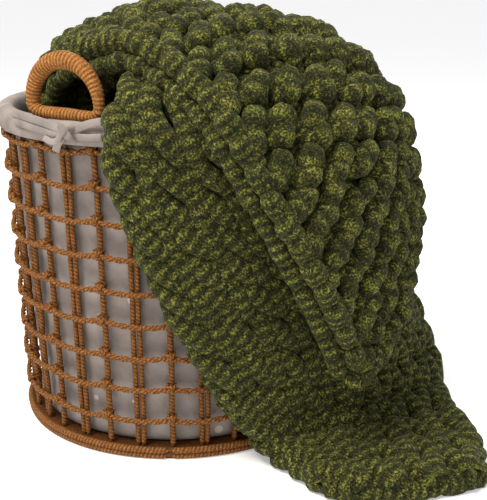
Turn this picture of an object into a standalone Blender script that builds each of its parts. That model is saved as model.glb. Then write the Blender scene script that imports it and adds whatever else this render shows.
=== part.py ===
"""A chunky knit blanket draped out of a jute net basket with a cotton liner.

Metres, +Z up. The origin is the middle of the basket's base, on the surface it stands on.
Angles round the basket are in degrees from the front (-Y), positive towards the right (+X).
"""

import bmesh
import bpy
import numpy as np

# The basket's driving sizes
GAP = 0.0003
BASKET_HEIGHT = 0.372
FOOT_RADIUS = 0.188
TOP_RADIUS = 0.202
BASE_THICK = 0.012
CORD = 0.0066
STAKE = 0.0070
DOUBLE_STAKE = 1.5
STAKES = 32
# The first stake stands this many degrees from the front, and every other one is single
STAKE_START = 1.0
NET_ROWS = 9
NET_LOWEST = 0.048
NET_PITCH = 0.0372
NET_SAG = 0.002
RIM_CORD = 0.013
LINER_THICK = 0.0024
BAND_DEPTH = 0.0228

# A six-sided rod's flats lie this much nearer its middle than its corners
HEX_FLAT = 0.8660

# The two D handles, on the rim at the front left and opposite
HANDLE_ANGLES = (-31.0, 149.0)
HANDLE_BAND = 0.015
HANDLE_WIDE = 0.102
HANDLE_HIGH = 0.070
HANDLE_ARCH = (-8.0, 188.0)
HANDLE_CORNER = 0.012

# Narrow cotton tie round the band in front of the first handle, with its knot and two free ends
TIE_ANGLES = (-52.0, -16.5)
TIE_HEIGHT = 0.362
TIE_WIDE = 0.009
TIE_THICK = 0.002
TIE_KNOT_ANGLE = -26.5
TIE_KNOT = (0.010, 0.007, 0.010)
TIE_TAILS = ((-31.0, 0.022), (-35.0, 0.012))
TAIL_TURN = 2.2
TAIL_OUT = (0.005, 0.003)

# The throw: thick chenille yarn in stockinette
CLOTH_THICK = 0.024
CLOTH_WIDE = 0.42
COLUMNS = 7
ROW_STEP = 0.038
EDGE_INSET = 0.009
# Cloth whose middle is lower than this lies flat on the floor
FLOOR_CLOTH = 0.0135
# The first rows on the heap come up to its face over this many rows
SINK_ROWS = 3
# Rows where the cloth goes down into the folds, and where it comes up out of them
JOIN_STEPS = 3

# Folds in the basket: upright layers side by side, along a line turned from the front
LAYERS = 4
LAYER_PITCH = 0.064
LAYER_TURN = 50.0
LAYER_REACH = 0.168
LAYER_LEFT_ENDS = (0.103, 0.115, 0.115, 0.090)
FOLD_LOW = 0.0335
FOLD_TOPS = (0.424, 0.408)
FOLD_END_DROP = 0.030
FOLD_STEPS = 3
OUTER_LAYER_TOP = 0.36
LAYER_WAVE = 0.003

# Outer face of the heap: how far out and how high its profile is, from the crown down
HEAP_PROFILE = {
    "out": (0.0, 0.06, 0.12, 0.17, 0.21, 0.243, 0.264, 0.275, 0.281, 0.287, 0.291, 0.293),
    "up": (0.478, 0.475, 0.465, 0.446, 0.420, 0.386, 0.345, 0.30, 0.24, 0.17, 0.11, 0.05),
}
# Where the cloth is double at the front right, the heap stands this much higher and further out
HEAP_LIFT = 0.021
HEAP_PUSH = 0.015
HEAP_PUSH_START = 0.20
HEAP_PUSH_RAMP = 0.08
HEAP_LIFT_ANGLE = 33.0
HEAP_LIFT_SPREAD = 55.0
HEAP_LIFT_REACH = 0.21
HEAP_LIFT_DEPTH = 0.075
# Left of here the heap falls away, by this much times the distance squared
HEAP_LEFT_START = -0.030
HEAP_LEFT_FALL = 8.0

# Cloth from the floor up the outside of the basket and over its rim. For the left edge, the
# middle and the right edge: angle round the basket, distance from its axis, height.
WALL_SECTIONS = (
    # left                    middle                   right
    ((31.1, 0.319, 0.012), (40.7, 0.368, 0.012), (53.8, 0.415, 0.012)),
    ((29.5, 0.267, 0.012), (45.0, 0.312, 0.012), (64.6, 0.387, 0.012)),
    ((26.8, 0.224, 0.016), (49.0, 0.256, 0.013), (73.5, 0.354, 0.012)),
    ((20.0, 0.212, 0.050), (50.0, 0.232, 0.040), (84.0, 0.331, 0.018)),
    ((11.0, 0.212, 0.100), (49.0, 0.227, 0.095), (95.0, 0.313, 0.058)),
    ((-1.0, 0.214, 0.190), (46.0, 0.221, 0.185), (97.0, 0.278, 0.128)),
    ((-9.0, 0.216, 0.258), (38.0, 0.218, 0.255), (90.0, 0.250, 0.225)),
    ((-14.0, 0.217, 0.320), (29.0, 0.218, 0.320), (77.0, 0.230, 0.300)),
    ((-14.5, 0.221, 0.371), (24.0, 0.2215, 0.368), (64.0, 0.222, 0.365)),
    ((-14.0, 0.197, 0.396), (22.0, 0.198, 0.3950), (59.0, 0.198, 0.3940)),
    ((-9.0, 0.163, 0.395), (25.0, 0.160, 0.387), (61.0, 0.163, 0.384)),
)

# Cloth rising out of the basket at the left, before it lies on the heap: x, y, z at its left
# edge, middle and right edge
RISING_SECTION = ((-0.137, -0.080, 0.376), (-0.128, 0.020, 0.398), (-0.090, 0.113, 0.386))

# Cloth lying over the heap, from the left to its hem at the front right. For the left edge, the
# middle and the right edge: the place on the heap laid flat, across and away, from the crown.
HEAP_SECTIONS = (
    # left               middle            right
    ((-0.061, -0.171), (-0.040, -0.02), (-0.015, 0.130)),
    ((0.000, -0.226), (0.030, -0.05), (0.035, 0.135)),
    ((0.060, -0.281), (0.115, -0.08), (0.100, 0.115)),
    ((0.124, -0.341), (0.200, -0.11), (0.170, 0.100)),
    ((0.205, -0.384), (0.280, -0.15), (0.240, 0.090)),
    ((0.285, -0.412), (0.360, -0.20), (0.300, 0.075)),
    ((0.351, -0.428), (0.425, -0.25), (0.345, 0.060)),
)

MATERIALS = {
    "chenille": ((0.085, 0.115, 0.035), 0.95),
    "jute": ((0.42, 0.20, 0.065), 0.85),
    "cotton": ((0.46, 0.40, 0.36), 0.90),
}


def clear_scene():
    for item in list(bpy.data.objects):
        bpy.data.objects.remove(item, do_unlink=True)


def material(name):
    """A plain fibre finish of the named colour and roughness."""
    if name in bpy.data.materials:
        return bpy.data.materials[name]
    colour, roughness = MATERIALS[name]
    made = bpy.data.materials.new(name)
    made.use_nodes = True
    shader = made.node_tree.nodes["Principled BSDF"]
    shader.inputs["Base Color"].default_value = (*colour, 1.0)
    shader.inputs["Roughness"].default_value = roughness
    return made


def add_solid(name, points, faces, finish):
    """One closed mesh as one object, with its faces turned outwards."""
    mesh = bpy.data.meshes.new(name)
    mesh.from_pydata([tuple(p) for p in points], [], [tuple(f) for f in faces])
    work = bmesh.new()
    work.from_mesh(mesh)
    bmesh.ops.recalc_face_normals(work, faces=work.faces)
    work.to_mesh(mesh)
    work.free()
    mesh.materials.append(material(finish))
    made = bpy.data.objects.new(name, mesh)
    bpy.context.scene.collection.objects.link(made)
    return made


def polar(angle, out, up):
    """A point from its angle round the basket, its distance from the axis and its height."""
    turn = np.radians(angle)
    return np.stack([out * np.sin(turn), -out * np.cos(turn), up + 0.0 * turn], axis=-1)


def wall_radius(up):
    """The net's outer radius at a height."""
    return FOOT_RADIUS + (TOP_RADIUS - FOOT_RADIUS) * up / BASKET_HEIGHT


def smooth_through(rows, steps):
    """Catmull-Rom curve through rows, with the given number of steps in each span."""
    rows = np.asarray(rows, float)
    padded = np.concatenate([2 * rows[:1] - rows[1:2], rows, 2 * rows[-1:] - rows[-2:-1]])
    made = []
    for span, count in enumerate(steps):
        a, b, c, d = padded[span:span + 4]
        for t in np.linspace(0.0, 1.0, count, endpoint=False):
            made.append(0.5 * (2 * b + (c - a) * t + (2 * a - 5 * b + 4 * c - d) * t ** 2
                               + (3 * b - a - 3 * c + d) * t ** 3))
    made.append(rows[-1])
    return np.array(made)


def tube(route, radius, sides, closed, squash=(1.0, 1.0)):
    """A rod along a route in space. Its cross-section has a corner on the side facing outwards."""
    route = np.asarray(route, float)
    if closed:
        ahead = np.roll(route, -1, axis=0) - np.roll(route, 1, axis=0)
    else:
        ahead = np.gradient(route, axis=0)
    ahead /= np.linalg.norm(ahead, axis=1)[:, None]
    outward = route * (1.0, 1.0, 0.0)
    side = np.cross(ahead, outward)
    side /= np.linalg.norm(side, axis=1)[:, None]
    up = np.cross(side, ahead)
    turns = 2 * np.pi * np.arange(sides) / sides
    ring = (np.sin(turns)[None, :, None] * side[:, None] * squash[0]
            + np.cos(turns)[None, :, None] * up[:, None] * squash[1])
    points = (route[:, None] + radius * ring).reshape(-1, 3)
    count = len(route)
    faces = []
    for i in range(count if closed else count - 1):
        for k in range(sides):
            here, there = i * sides, (i + 1) % count * sides
            faces.append((here + k, here + (k + 1) % sides, there + (k + 1) % sides, there + k))
    if not closed:
        faces.append(tuple(range(sides)))
        faces.append(tuple((count - 1) * sides + k for k in range(sides)))
    return points, faces


def turned(profile, sides):
    """A closed profile of (radius, height) turned round the basket's axis."""
    profile = np.asarray(profile, float)
    angles = 360.0 * np.arange(sides) / sides
    points = []
    index = []
    for out, up in profile:
        if out == 0.0:
            index.append([len(points)] * sides)
            points.append((0.0, 0.0, up))
        else:
            index.append(list(range(len(points), len(points) + sides)))
            points.extend(polar(angles, np.full(sides, out), up))
    faces = []
    for p in range(len(profile) - 1):
        for k in range(sides):
            after = (k + 1) % sides
            corners = [index[p][k], index[p][after], index[p + 1][after], index[p + 1][k]]
            face = list(dict.fromkeys(corners))
            if len(face) > 2:
                faces.append(face)
    return points, faces


# The basket

LINER_FLOOR = BASE_THICK + GAP
LINER_RIM_RADIUS = TOP_RADIUS - LINER_THICK - GAP - RIM_CORD / 2
RIM_HEIGHT = BASKET_HEIGHT - LINER_THICK - GAP - RIM_CORD / 2


def stake_radius(up):
    """Middle of the upright stakes, just inside the net's rows."""
    return wall_radius(up) - CORD - GAP - STAKE / 2


def liner_radius(up):
    """Outer face of the liner, just inside the stakes."""
    return stake_radius(up) - STAKE / 2 - GAP


def make_base():
    """Flat woven disc."""
    flat = FOOT_RADIUS - CORD / 2
    profile = [(0, 0), (flat, 0), (FOOT_RADIUS, BASE_THICK / 2), (flat, BASE_THICK), (0, BASE_THICK)]
    add_solid("base", *turned(profile, 32), "jute")


def make_stakes():
    """Uprights from the base to the rim, every other one double."""
    low = BASE_THICK + GAP
    high = RIM_HEIGHT - HEX_FLAT * RIM_CORD / 2 - GAP
    for number in range(STAKES):
        angle = STAKE_START + 360.0 * number / STAKES
        ends = [polar(angle, stake_radius(up), up) for up in (low, high)]
        wide = DOUBLE_STAKE if number % 2 else 1.0
        add_solid(f"stake_{number + 1:02d}",
                  *tube(ends, STAKE / 2, 6, False, squash=(wide, 1.0)), "jute")


def make_net_rows():
    """Cords round the outside of the stakes, lower at every other stake, as they sag."""
    angles = STAKE_START + 360.0 * np.arange(STAKES) / STAKES
    for number in range(NET_ROWS):
        up = NET_LOWEST + NET_PITCH * number
        heights = up - NET_SAG * (np.arange(STAKES) % 2)
        route = polar(angles, wall_radius(heights) - CORD / 2, heights)
        add_solid(f"net_row_{number + 1}", *tube(route, CORD / 2, 4, True), "jute")


def make_rim():
    """Wrapped ring that the net hangs from, inside the fold of the liner."""
    angles = 360.0 * np.arange(32) / 32
    route = polar(angles, np.full(32, LINER_RIM_RADIUS), np.full(32, RIM_HEIGHT))
    add_solid("rim", *tube(route, RIM_CORD / 2, 6, True), "jute")


def make_liner():
    """Cotton bag: floor, wall, and a band turned down outside the rim."""
    t = LINER_THICK
    foot_out = liner_radius(LINER_FLOOR)
    neck = RIM_HEIGHT - RIM_CORD
    inside = LINER_RIM_RADIUS - RIM_CORD / 2 - GAP
    outside = TOP_RADIUS
    band_low = BASKET_HEIGHT - BAND_DEPTH
    profile = [
        (0.0, LINER_FLOOR), (foot_out, LINER_FLOOR), (liner_radius(neck), neck),
        (inside, RIM_HEIGHT), (inside + 0.3 * RIM_CORD, BASKET_HEIGHT - t),
        (outside - t - 0.3 * RIM_CORD, BASKET_HEIGHT - t), (outside - t, RIM_HEIGHT),
        (outside - t, band_low), (outside, band_low), (outside, RIM_HEIGHT + t),
        (outside - 0.4 * RIM_CORD, BASKET_HEIGHT), (inside + 0.1 * RIM_CORD, BASKET_HEIGHT),
        (inside - t, RIM_HEIGHT + t), (liner_radius(neck) - t, neck),
        (foot_out - t, LINER_FLOOR + t), (0.0, LINER_FLOOR + t),
    ]
    add_solid("liner", *turned(profile, 32), "cotton")


def make_handles():
    """Wrapped D rings that stand on the liner's band over the rim."""
    half_wide = HANDLE_WIDE / 2 - HANDLE_BAND / 2
    low = BASKET_HEIGHT + GAP + HEX_FLAT * HANDLE_BAND / 2
    rise = HANDLE_HIGH - HANDLE_BAND
    arch = np.radians(np.linspace(*HANDLE_ARCH, 13))
    across = list(half_wide * np.cos(arch))
    height = list(rise - half_wide + half_wide * np.sin(arch))
    across += [-half_wide + HANDLE_CORNER, 0.0, half_wide - HANDLE_CORNER]
    height += [0.0, 0.0, 0.0]
    for number, angle in enumerate(HANDLE_ANGLES):
        turn = np.radians(angle)
        along = np.array([np.cos(turn), np.sin(turn), 0.0])
        seat = polar(angle, LINER_RIM_RADIUS, low)
        route = seat + np.outer(across, along) + np.outer(height, (0, 0, 1))
        points, faces = d_ring(route, along)
        add_solid(f"handle_{number + 1}", points, faces, "jute")


def d_ring(route, along):
    """A closed rod round a D in an upright plane, six sides."""
    sides = 6
    across_plane = np.cross(along, (0, 0, 1))
    ahead = np.roll(route, -1, axis=0) - np.roll(route, 1, axis=0)
    ahead /= np.linalg.norm(ahead, axis=1)[:, None]
    outward = np.cross(ahead, across_plane)
    turns = 2 * np.pi * np.arange(sides) / sides
    ring = (np.cos(turns)[None, :, None] * across_plane[None, None, :]
            + np.sin(turns)[None, :, None] * outward[:, None])
    points = (route[:, None] + HANDLE_BAND / 2 * ring).reshape(-1, 3)
    count = len(route)
    faces = []
    for i in range(count):
        for k in range(sides):
            here, there = i * sides, (i + 1) % count * sides
            faces.append((here + k, here + (k + 1) % sides, there + (k + 1) % sides, there + k))
    return points, faces


def strip(angles, outs, heights, wide_step):
    """A flat strip of cloth through places round the basket, one closed mesh."""
    angles, outs, heights = (np.asarray(v, float) for v in (angles, outs, heights))
    turn, lift = np.asarray(wide_step) / 2
    points = []
    for side, depth in ((-1, 0), (1, 0), (1, TIE_THICK), (-1, TIE_THICK)):
        points.append(polar(angles + side * turn, outs + depth, heights + side * lift))
    points = np.stack(points, axis=1).reshape(-1, 3)
    faces = [(0, 1, 2, 3), tuple(4 * (len(angles) - 1) + k for k in (3, 2, 1, 0))]
    for i in range(len(angles) - 1):
        for k in range(4):
            faces.append((4 * i + k, 4 * i + (k + 1) % 4, 4 * i + 4 + (k + 1) % 4, 4 * i + 4 + k))
    return points, faces


def make_tie():
    """The tie's band, knot and two hanging ends, joined into one solid."""
    seat = TOP_RADIUS + GAP
    angles = np.linspace(*TIE_ANGLES, 9)
    tie = add_solid("tie", *strip(angles, np.full(9, seat), np.full(9, TIE_HEIGHT),
                                  (0.0, TIE_WIDE)), "cotton")
    knot_mesh = bpy.data.meshes.new("tie_knot_form")
    work = bmesh.new()
    bmesh.ops.create_icosphere(work, subdivisions=2, radius=1.0)
    work.to_mesh(knot_mesh)
    work.free()
    knot = bpy.data.objects.new("tie_knot_form", knot_mesh)
    knot.location = polar(TIE_KNOT_ANGLE, seat + TIE_KNOT[1], TIE_HEIGHT)
    knot.rotation_euler = (0.0, 0.0, np.radians(TIE_KNOT_ANGLE))
    knot.scale = TIE_KNOT
    bpy.context.scene.collection.objects.link(knot)
    forms = [knot]
    for number, (angle, drop) in enumerate(TIE_TAILS):
        share = np.linspace(0.0, 1.0, 4)
        turned_to = TIE_KNOT_ANGLE + (angle - TIE_KNOT_ANGLE) * share
        outs = seat + np.interp(share, (0.0, 1.0), TAIL_OUT)
        heights = TIE_HEIGHT - drop * share
        forms.append(add_solid(f"tie_tail_form_{number + 1}",
                               *strip(turned_to, outs, heights, (TAIL_TURN, 0.0)), "cotton"))
    for form in forms:
        form.hide_render = True
        form.display_type = "WIRE"
        union = tie.modifiers.new(form.name, "BOOLEAN")
        union.operation = "UNION"
        union.solver = "EXACT"
        union.object = form


# The throw

def across_blend(left, middle, right, share):
    """A quadratic curve through a section's left edge, middle and right edge."""
    left, middle, right = (np.asarray(p, float) for p in (left, middle, right))
    u = np.asarray(share)[:, None]
    return ((2 * u - 1) * (u - 1) * left + 4 * u * (1 - u) * middle + u * (2 * u - 1) * right)


def heap_point(flat):
    """A point of the heap's outer face from its place laid flat round the crown."""
    profile = smooth_through(np.stack([HEAP_PROFILE["out"], HEAP_PROFILE["up"]], axis=1),
                             [12] * (len(HEAP_PROFILE["out"]) - 1))
    steps = np.linalg.norm(np.diff(profile, axis=0), axis=1)
    length = np.concatenate([[0.0], np.cumsum(steps)])
    reach = np.linalg.norm(flat, axis=-1)
    angle = np.degrees(np.arctan2(flat[..., 0], -flat[..., 1]))
    double = np.exp(-((angle - HEAP_LIFT_ANGLE) / HEAP_LIFT_SPREAD) ** 2)
    out = np.interp(reach, length, profile[:, 0])
    up = np.interp(reach, length, profile[:, 1])
    out = out + HEAP_PUSH * double * np.clip((reach - HEAP_PUSH_START) / HEAP_PUSH_RAMP, 0.0, 1.0)
    up = up + HEAP_LIFT * double * np.exp(-((reach - HEAP_LIFT_REACH) / HEAP_LIFT_DEPTH) ** 2)
    up = up - HEAP_LEFT_FALL * np.minimum(flat[..., 0] - HEAP_LEFT_START, 0.0) ** 2
    return polar(angle, out, up)


def fold_sections(share):
    """Upright layers side by side, joined by round bends at the bottom and the top in turn."""
    turn = np.radians(LAYER_TURN)
    stack = np.array([np.sin(turn), -np.cos(turn)])
    run = np.array([np.cos(turn), np.sin(turn)])
    bend = LAYER_PITCH / 2
    places = LAYER_PITCH * ((LAYERS - 1) / 2 - np.arange(LAYERS))
    sections = []

    def section(place, up):
        right = np.sqrt(LAYER_REACH ** 2 - (abs(place) + CLOTH_THICK / 2) ** 2)
        left = min(right, np.interp(place, places[::-1], LAYER_LEFT_ENDS[::-1]))
        wave = place + LAYER_WAVE * np.sin(2 * np.pi * (share + up / BASKET_HEIGHT))
        flat = np.outer(wave, stack) + np.outer(-left + (left + right) * share, run)
        drop = FOLD_END_DROP * (2 * share - 1) ** 2
        sections.append(np.column_stack([flat, up - drop * (up > BASKET_HEIGHT / 2)]))

    for layer in range(LAYERS):
        place = places[layer]
        going_down = layer % 2 == 0
        top = FOLD_TOPS[max(0, (layer - 1) // 2) % 2] - bend
        low = FOLD_LOW + bend
        for up in (top, low) if going_down else (low, top):
            if up < OUTER_LAYER_TOP or layer not in (0, LAYERS - 1):
                section(place, up)
        if layer == LAYERS - 1:
            break
        for t in np.pi * np.arange(1, FOLD_STEPS) / FOLD_STEPS:
            rise = bend * np.sin(t)
            section(place - bend + bend * np.cos(t), low - rise if going_down else top + rise)
    return sections


def cloth_middle():
    """Middle surface of the throw, a grid of points."""
    inset = EDGE_INSET / CLOTH_WIDE
    inner = np.linspace(inset, 1 - inset, COLUMNS)
    share = np.concatenate([[0.0], inner, [1.0]])
    wall = []
    for left, middle, right in WALL_SECTIONS:
        angle, out, up = across_blend(left, middle, right, share).T
        wall.append(polar(angle, out, up))
    folds = fold_sections(share)
    heap = [across_blend(*RISING_SECTION, share)]
    for left, middle, right in HEAP_SECTIONS:
        heap.append(heap_point(across_blend(left, middle, right, share)))
    sections = np.array(wall + folds + heap)
    first_fold = len(wall) - 1
    last_fold = len(wall) + len(folds)
    middle_lengths = np.linalg.norm(np.diff(sections.mean(axis=1), axis=0), axis=1)
    steps = []
    for span, length in enumerate(middle_lengths):
        shown = span < first_fold or span >= last_fold
        steps.append(max(1, round(length / ROW_STEP)) if shown else 1)
    steps[first_fold] = steps[last_fold - 1] = JOIN_STEPS
    surface = smooth_through(sections, steps)
    # The table gives the outer face of the cloth on the heap, and the middle elsewhere
    start = sum(steps[:last_fold])
    normal = surface_normal(surface)
    sink = np.zeros(len(surface))
    sink[start:] = np.clip((np.arange(len(surface) - start)) / SINK_ROWS, 0.0, 1.0)
    return surface + normal * (sink * CLOTH_THICK / 2)[:, None, None]


def surface_normal(surface):
    """Unit normals of a grid of points, from the differences along it and across it."""
    along = np.gradient(surface, axis=0)
    across = np.gradient(surface, axis=1)
    normal = np.cross(across, along)
    return normal / np.linalg.norm(normal, axis=2)[:, :, None]


def make_throw():
    """A slab on the middle surface, thin at its edges."""
    middle = cloth_middle()
    rows, columns = middle.shape[:2]
    normal = surface_normal(middle)
    j, i = np.meshgrid(np.arange(rows), np.arange(columns), indexing="ij")
    face = middle + normal * CLOTH_THICK / 2
    back = middle - normal * CLOTH_THICK / 2
    edge = (i == 0) | (i == columns - 1) | (j == 0) | (j == rows - 1)
    face[edge] = middle[edge]
    face[:, :, 2] = np.maximum(face[:, :, 2], 0.0)
    back[:, :, 2] = np.maximum(back[:, :, 2], 0.0)
    floor_rows = (j > 0) & (middle[:, :, 2] < FLOOR_CLOTH) & ~edge
    back[floor_rows, 2] = 0.0
    points = list(face.reshape(-1, 3))
    face_index = np.arange(rows * columns).reshape(rows, columns)
    back_index = face_index.copy()
    for row, column in zip(*np.nonzero(~edge)):
        back_index[row, column] = len(points)
        points.append(back[row, column])
    faces = []
    for row in range(rows - 1):
        for column in range(columns - 1):
            for index in (face_index, back_index):
                a, b = index[row, column], index[row, column + 1]
                c, d = index[row + 1, column + 1], index[row + 1, column]
                corners = [(a, b, d), (b, c, d)] if (row + column) % 2 else [(a, b, c), (a, c, d)]
                faces.extend(corners if index is face_index else [t[::-1] for t in corners])
    shared = {}
    for triangle in faces:
        shared.setdefault(frozenset(int(p) for p in triangle), []).append(triangle)
    faces = [group[0] for group in shared.values() if len(group) == 1]
    add_solid("blanket", points, faces, "chenille")


clear_scene()
make_base()
make_rim()
make_stakes()
make_net_rows()
make_liner()
make_handles()
make_tie()
make_throw()
print("solids:", len(bpy.data.objects))
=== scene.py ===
# %% [markdown]
# # A chunky knit throw falling out of a jute basket
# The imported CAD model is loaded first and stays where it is. It has the true sizes and the main
# folds, and everything below dresses it: looped yarn for the throw, twisted jute for the net,
# cotton for the liner.

# %% Load the frame
import bpy
import numpy as np
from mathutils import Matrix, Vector


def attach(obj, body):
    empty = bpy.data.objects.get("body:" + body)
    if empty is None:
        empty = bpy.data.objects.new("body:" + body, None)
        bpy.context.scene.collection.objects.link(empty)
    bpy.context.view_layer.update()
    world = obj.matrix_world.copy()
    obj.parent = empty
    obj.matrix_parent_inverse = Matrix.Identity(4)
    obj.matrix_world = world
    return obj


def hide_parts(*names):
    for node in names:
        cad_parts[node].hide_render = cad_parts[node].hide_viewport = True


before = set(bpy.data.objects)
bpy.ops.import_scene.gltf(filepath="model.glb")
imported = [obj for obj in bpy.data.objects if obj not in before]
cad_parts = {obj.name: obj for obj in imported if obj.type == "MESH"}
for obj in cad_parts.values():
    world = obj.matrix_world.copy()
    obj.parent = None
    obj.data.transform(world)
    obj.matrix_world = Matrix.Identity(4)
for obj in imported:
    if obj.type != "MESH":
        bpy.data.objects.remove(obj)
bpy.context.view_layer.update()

# %% [markdown]
# ## Camera, floor and light
# The photograph looks down at the basket from about 16 degrees, from a little over a metre away.
# A 72 mm lens on a 36 mm sensor gives the same small perspective. The floor is a large pale
# sheet, and two soft area lights with a pale sky stand in for a studio. The view has no film
# curve, so white paper stays white.

# %% Camera
camera_data = bpy.data.cameras.new("camera")
camera_data.sensor_fit = "VERTICAL"
camera_data.sensor_width = 36.0
camera_data.sensor_height = 36.0
camera_data.lens = 72.0
camera = bpy.data.objects.new("camera", camera_data)
camera.location = (0.0814, -1.1817, 0.5345)
camera.rotation_euler = (np.radians(90.0 - 16.42), 0.0, 0.0)
bpy.context.scene.collection.objects.link(camera)
bpy.context.scene.camera = camera
print("camera at", tuple(round(value, 3) for value in camera.location))


# %% Colours and nodes
def srgb(code):
    """Linear red, green and blue of a hex colour: ((c + 0.055) / 1.055) ** 2.4 above 0.04045."""
    value = np.array([int(code[k:k + 2], 16) for k in (1, 3, 5)]) / 255.0
    return tuple(np.where(value <= 0.04045, value / 12.92, ((value + 0.055) / 1.055) ** 2.4))


def add_node(tree, kind, links=(), **settings):
    """One shader node. A setting is an input's value or a property, and a link is (input, source)."""
    node = tree.nodes.new(kind)
    for name, value in settings.items():
        label = name.replace("_", " ").title()
        if hasattr(node, name):
            setattr(node, name, value)
        else:
            node.inputs[label].default_value = value
    for name, source in links:
        tree.links.new(source, node.inputs[name])
    return node


def new_material(name, roughness, **settings):
    """A material with an empty shader: its tree and its Principled node."""
    made = bpy.data.materials.new(name)
    made.use_nodes = True
    shader = made.node_tree.nodes["Principled BSDF"]
    shader.inputs["Roughness"].default_value = roughness
    for label, value in settings.items():
        shader.inputs[label.replace("_", " ").title()].default_value = value
    return made, made.node_tree, shader


def ramp(tree, source, *stops):
    """A colour ramp from (place, hex colour) stops."""
    node = add_node(tree, "ShaderNodeValToRGB", [("Fac", source)])
    while len(node.color_ramp.elements) < len(stops):
        node.color_ramp.elements.new(0.5)
    for element, (place, code) in zip(node.color_ramp.elements, stops):
        element.position = place
        element.color = (*srgb(code), 1.0)
    return node


# %% Meshes from grids
def add_piece(name, points, faces, material, uv=None, smooth=True):
    """A mesh object at the origin from arrays: points (n, 3), faces (m, 4) or a list of such."""
    groups = faces if isinstance(faces, list) else [faces]
    sizes = np.concatenate([np.full(len(group), group.shape[1]) for group in groups])
    corners = np.concatenate([group.ravel() for group in groups])
    mesh = bpy.data.meshes.new(name)
    mesh.vertices.add(len(points))
    mesh.vertices.foreach_set("co", np.asarray(points, np.float32).ravel())
    mesh.loops.add(len(corners))
    mesh.loops.foreach_set("vertex_index", corners.astype(np.int32))
    mesh.polygons.add(len(sizes))
    starts = np.concatenate([[0], np.cumsum(sizes)[:-1]])
    mesh.polygons.foreach_set("loop_start", starts.astype(np.int32))
    mesh.polygons.foreach_set("use_smooth", np.full(len(sizes), smooth))
    if uv is not None:
        layer = mesh.uv_layers.new(name="UVMap")
        layer.data.foreach_set("uv", np.asarray(uv, np.float32).ravel())
    mesh.update(calc_edges=True)
    mesh.validate()
    mesh.materials.append(material)
    made = bpy.data.objects.new(name, mesh)
    bpy.context.scene.collection.objects.link(made)
    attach(made, "root")
    print(f"{name}: {int((sizes - 2).sum())} triangles")
    return made


def ring_faces(rings, sides, first=0):
    """Quads of a tube of rings, closed round it, and the corner coordinates along and round it."""
    i, k = np.meshgrid(np.arange(rings - 1), np.arange(sides), indexing="ij")
    after = (k + 1) % sides
    quads = np.stack([i * sides + k, (i + 1) * sides + k, (i + 1) * sides + after,
                      i * sides + after], axis=-1).reshape(-1, 4)
    along = np.stack([i, i + 1, i + 1, i], axis=-1).reshape(-1, 4)
    round_it = np.stack([k, k, k + 1, k + 1], axis=-1).reshape(-1, 4) / sides
    return quads + first, along, round_it


def tube(path, up, radius, sides, bulge=None):
    """Points of a tube: path + radius (cos a side + sin a up'), with up' square to the path.

    radius may change along the path. bulge multiplies it for each ring and side. The first and
    last ring shrink to a twentieth, which closes the ends.
    """
    ahead = np.gradient(path, axis=0)
    ahead /= np.linalg.norm(ahead, axis=1)[:, None]
    side = np.cross(ahead, up)
    side /= np.linalg.norm(side, axis=1)[:, None]
    lift = np.cross(side, ahead)
    turn = 2.0 * np.pi * np.arange(sides) / sides
    spread = np.broadcast_to(np.asarray(radius, float), (len(path),)).copy()
    spread[[0, -1]] *= 0.05
    size = spread[:, None] * (1.0 if bulge is None else bulge)
    ring = (np.cos(turn)[None, :, None] * side[:, None] + np.sin(turn)[None, :, None] * lift[:, None])
    return path[:, None] + size[:, :, None] * ring


def join_tubes(tubes):
    """Points, quads and UVs of many tubes. U is the length along in metres, V is 0 to 1."""
    points, quads, uvs = [], [], []
    first = 0
    for grid in tubes:
        rings, sides = grid.shape[:2]
        faces, along, round_it = ring_faces(rings, sides, first)
        steps = np.linalg.norm(np.diff(grid.mean(axis=1), axis=0), axis=1)
        length = np.concatenate([[0.0], np.cumsum(steps)])
        points.append(grid.reshape(-1, 3))
        quads.append(faces)
        uvs.append(np.stack([length[along], round_it], axis=-1).reshape(-1, 2))
        first += rings * sides
    return np.concatenate(points), np.concatenate(quads), np.concatenate(uvs)


print("helpers ready")

# %% Floor and lights
floor_material, floor_tree, floor_shader = new_material("pale_paper_floor", 0.9)
floor_shader.inputs["Base Color"].default_value = (*srgb("#f4f3f1"), 1.0)
floor_shader.inputs["Emission Color"].default_value = (*srgb("#ffffff"), 1.0)
floor_shader.inputs["Emission Strength"].default_value = 0.30
FLOOR_HALF = 40.0
floor_corners = [(x * FLOOR_HALF, y * FLOOR_HALF, 0) for x, y in ((-1, -1), (1, -1), (1, 1), (-1, 1))]
floor_mesh = bpy.data.meshes.new("floor")
floor_mesh.from_pydata(floor_corners, [], [(0, 1, 2, 3)])
floor_mesh.materials.append(floor_material)
floor = bpy.data.objects.new("floor", floor_mesh)
bpy.context.scene.collection.objects.link(floor)

world = bpy.data.worlds.new("studio")
bpy.context.scene.world = world
bpy.context.scene.view_settings.view_transform = "Standard"
world.use_nodes = True
world.node_tree.nodes["Background"].inputs["Color"].default_value = (*srgb("#fbfbff"), 1.0)
world.node_tree.nodes["Background"].inputs["Strength"].default_value = 0.70


def area_light(name, place, target, size, watts, tint="#ffffff"):
    """A square soft light that looks from its place towards a target."""
    data = bpy.data.lights.new(name, "AREA")
    data.size = size
    data.energy = watts
    data.color = srgb(tint)
    lamp = bpy.data.objects.new(name, data)
    lamp.location = place
    lamp.rotation_euler = (Vector(target) - Vector(place)).to_track_quat("-Z", "Y").to_euler()
    bpy.context.scene.collection.objects.link(lamp)


area_light("key", (-0.7, -0.9, 2.2), (0.05, 0.0, 0.3), 1.0, 66.0, "#fffaf2")
area_light("back", (0.3, 1.6, 1.8), (0.05, 0.0, 0.3), 1.2, 16.0)
print("stage ready")

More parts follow.
